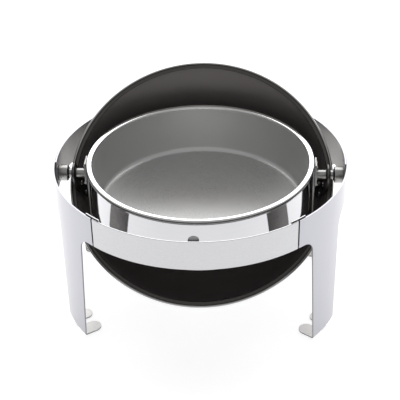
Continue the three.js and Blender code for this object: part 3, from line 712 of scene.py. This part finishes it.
def ear():
    """Strip inside the dome, round at the pivot, that follows the sphere; drawn before the roll."""
    w = EAR_W / 2
    rows = [(-w * cos(t), w * sin(t)) for t in (14, 28, 42, 56, 70, 84)]
    rows += [(5 + 63 * i / 8, w) for i in range(9)]
    rows += [(EAR_L - 14 + 14 * i / 3, w - 12 * i / 3) for i in range(1, 4)]
    cols = 10
    grid, faces = [], []
    for zz, ww in rows:
        for i in range(cols + 1):
            y = ww * (2 * i / cols - 1)
            grid.append(tuple((math.sqrt(r * r - y * y - zz * zz), y, zz) for r in (EAR_OUT, EAR_IN)))
    for j in range(len(rows) - 1):
        for i in range(cols):
            k = j * (cols + 1) + i
            faces.append((k, k + 1, k + cols + 2, k + cols + 1))
    return sheet(grid, faces)


for side, s in (("right", 1), ("left", -1)):
    v, f, _ = placed(mirrored(ear(), s, 1), ROLL)
    # ear strips in the near-black steel: painted shade inside the lid
    o = build(f"lid_ear_{side}_strip", v, f, [ear_painted_shade], "lid", [f"lid_ear_{side}"], "bracket_steel",
              bevel=0.35, sharp=50)
    cut(o, [along_x(rod(PIN_R + PLAY, EAR_IN - 8, EAR_OUT + 8, 0.1, 48), s)])
    for i, (y, zz) in enumerate(RIVETS):
        x = math.sqrt(EAR_IN ** 2 - y * y - zz * zz)
        out = Vector((s * x, y, zz)).normalized()
        prof = [(0, EAR_IN - 2.3)]
        prof += [(4.5 * sin(t), EAR_IN - 0.8 - 1.5 * cos(t)) for t in (20, 40, 60, 78)]
        prof += [(4.6, EAR_IN - 0.45), (2.0, EAR_IN - 0.4), (2.0, EAR_OUT - 0.3), (0, EAR_OUT - 0.3)]
        aim = ROLL @ out.to_track_quat("Z", "Y").to_matrix().to_4x4()
        v, f = placed(lathe(prof, 36), aim)
        build(f"ear_rivet_{side}_{i + 1}_head", v, f, [fixing], "lid", [f"ear_rivet_{side}_{i + 1}"],
              "fixing_steel", sharp=40)

# handle: a bent rod on two welded feet. In the open lid it rests on the rear band's top edge, which sets
# its place round the dome.
edge = math.sqrt((REAR_R - SHEET) ** 2 - HANDLE_X ** 2)
stop = math.hypot(edge, RING_TOP - PIVOT_Z)
rise = math.atan2(RING_TOP - PIVOT_Z, edge) + math.asin((ROD_R + 0.5) / stop)
AT = ROLL @ Matrix.Rotation(math.pi / 2 - (rad(180 - OPEN) - rise), 4, "X")
seat = math.sqrt(DOME_R ** 2 - HANDLE_X ** 2)
base, b = seat + 5, HANDLE_BEND
path = [(-HANDLE_X, base), (-HANDLE_X, base + 3)]
for p0, p1, p2 in ((Vector((-HANDLE_X, HANDLE_R - b)), Vector((-HANDLE_X, HANDLE_R)),
                    Vector((-HANDLE_X + b, HANDLE_R))),
                   (Vector((HANDLE_X - b, HANDLE_R)), Vector((HANDLE_X, HANDLE_R)),
                    Vector((HANDLE_X, HANDLE_R - b)))):
    path += [tuple((1 - t) ** 2 * p0 + 2 * t * (1 - t) * p1 + t * t * p2) for t in [i / 10 for i in range(11)]]
    if p0.x < 0:
        path += [(x, HANDLE_R) for x in (-30, -10, 10, 30)]
path += [(HANDLE_X, base + 3), (HANDLE_X, base)]
verts, faces = [], []
for i, p in enumerate(path):
    a, c = Vector(path[max(0, i - 1)]), Vector(path[min(len(path) - 1, i + 1)])
    d = (c - a).normalized()
    side_dir = Vector((d.y, -d.x))
    for k in range(ROD_SEG):
        t = 2 * math.pi * k / ROD_SEG
        q = Vector(p) + side_dir * ROD_R * math.cos(t)
        verts.append((q.x, ROD_R * math.sin(t), q.y))
for i in range(len(path) - 1):
    for k in range(ROD_SEG):
        m, here, after = (k + 1) % ROD_SEG, i * ROD_SEG, (i + 1) * ROD_SEG
        faces.append((here + k, here + m, after + m, after + k))
faces += [tuple(range(ROD_SEG)), tuple(range(ROD_SEG * (len(path) - 1), ROD_SEG * len(path)))]
v, f = placed((verts, faces), AT)
build("lid_handle_rod", v, f, [handle_steel], "lid", ["lid_handle"], "handle_polished", bevel=0.3, sharp=40)
for side, s in (("right", 1), ("left", -1)):
    # foot: a short post that widens down to the dome
    top, foot_r = base - PLAY, DOME_R + 0.35
    verts, faces = [], []
    prof = [(8.5 + 1.5 * u * u, u) for u in (0, 0.25, 0.5, 0.75, 1.0)]
    for k in range(FOOT_SEG):
        t = 2 * math.pi * k / FOOT_SEG
        x, y = s * HANDLE_X + 10 * math.cos(t), 10 * math.sin(t)
        low = math.sqrt(foot_r ** 2 - x * x - y * y)
        for r, u in prof:
            verts.append((s * HANDLE_X + r * math.cos(t), r * math.sin(t), top + (low - top) * u))
    m = len(prof)
    for k in range(FOOT_SEG):
        q = (k + 1) % FOOT_SEG
        for j in range(m - 1):
            faces.append((k * m + j, q * m + j, q * m + j + 1, k * m + j + 1))
    verts += [(s * HANDLE_X, 0, top), (s * HANDLE_X, 0, math.sqrt(foot_r ** 2 - HANDLE_X ** 2))]
    ends = FOOT_SEG * m
    for k in range(FOOT_SEG):
        q = (k + 1) % FOOT_SEG
        faces += [(k * m, q * m, ends), (k * m + m - 1, q * m + m - 1, ends + 1)]
    v, f = placed((verts, faces), AT)
    build(f"handle_foot_{side}_turned", v, f, [handle_steel], "lid", [f"handle_foot_{side}"],
          "handle_polished", bevel=0.6, sharp=40)


# ---------------------------------------------------------------- floor, light and camera
def floor():
    me = bpy.data.meshes.new("floor")
    n, m, size = 8, 9, FLOOR_HALF    # steps and corners of the grid each way, half its width
    verts = [(size * (2 * i / n - 1), size * (2 * j / n - 1), FLOOR_Z) for j in range(m) for i in range(m)]
    faces = [(j * m + i, j * m + i + 1, (j + 1) * m + i + 1, (j + 1) * m + i)
             for j in range(n) for i in range(n)]
    me.from_pydata(verts, [], faces)
    pale = bpy.data.materials.new("floor_pale")
    pale.use_nodes = True
    b = pale.node_tree.nodes["Principled BSDF"]
    b.inputs["Base Color"].default_value = (FLOOR_GREY, FLOOR_GREY, FLOOR_GREY, 1)
    b.inputs["Roughness"].default_value = 0.9
    b.inputs["Specular IOR Level"].default_value = 0.1
    b.inputs["Emission Color"].default_value = (1, 1, 1, 1)
    b.inputs["Emission Strength"].default_value = FLOOR_GLOW
    me.materials.append(pale)
    o = bpy.data.objects.new("floor", me)
    bpy.context.scene.collection.objects.link(o)
    o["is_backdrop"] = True


floor()
world = bpy.data.worlds.new("studio")
bpy.context.scene.world = world
world.use_nodes = True
background = world.node_tree.nodes["Background"]
background.inputs["Color"].default_value = (1.0, 1.0, 1.0, 1)
background.inputs["Strength"].default_value = WORLD_GLOW

light = bpy.data.lights.new("back_sky", "AREA")
light.shape, light.energy = "RECTANGLE", SKY_WATTS
light.size, light.size_y = SKY_SIZE
sky = bpy.data.objects.new("back_sky", light)
sky.location = SKY_AT
sky.rotation_euler = (Vector(SKY_AIM) - Vector(SKY_AT)).to_track_quat("-Z", "Y").to_euler()
bpy.context.scene.collection.objects.link(sky)

cam = bpy.data.cameras.new("camera")
cam.sensor_fit, cam.sensor_width = "HORIZONTAL", SENSOR
cam.lens = FOCAL_PX / PHOTO_PX * SENSOR
cam.clip_end = 60
seen = bpy.data.objects.new("camera", cam)
turn, pitch, roll = rad(AZIMUTH + YAW), rad(PITCH), rad(ROLL_ANGLE)
spot = Matrix.Rotation(rad(AZIMUTH), 4, "Z") @ Vector(CAMERA_AT)
ahead = Vector((-math.sin(turn), math.cos(turn), 0)) * math.cos(pitch) + Vector((0, 0, -math.sin(pitch)))
right = ahead.cross(Vector((0, 0, 1))).normalized()
up = right.cross(ahead)
right2 = right * math.cos(roll) + up * math.sin(roll)
up2 = up * math.cos(roll) - right * math.sin(roll)
seen.matrix_world = Matrix.Translation(spot) @ Matrix((right2, up2, -ahead)).transposed().to_4x4()
bpy.context.scene.collection.objects.link(seen)
bpy.context.scene.camera = seen
bpy.context.scene.view_settings.view_transform = "Standard"

lists = lambda b: [[float(c) for c in corner] for corner in b]
{"cad": lists(cad_box), "visual": lists(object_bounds())}
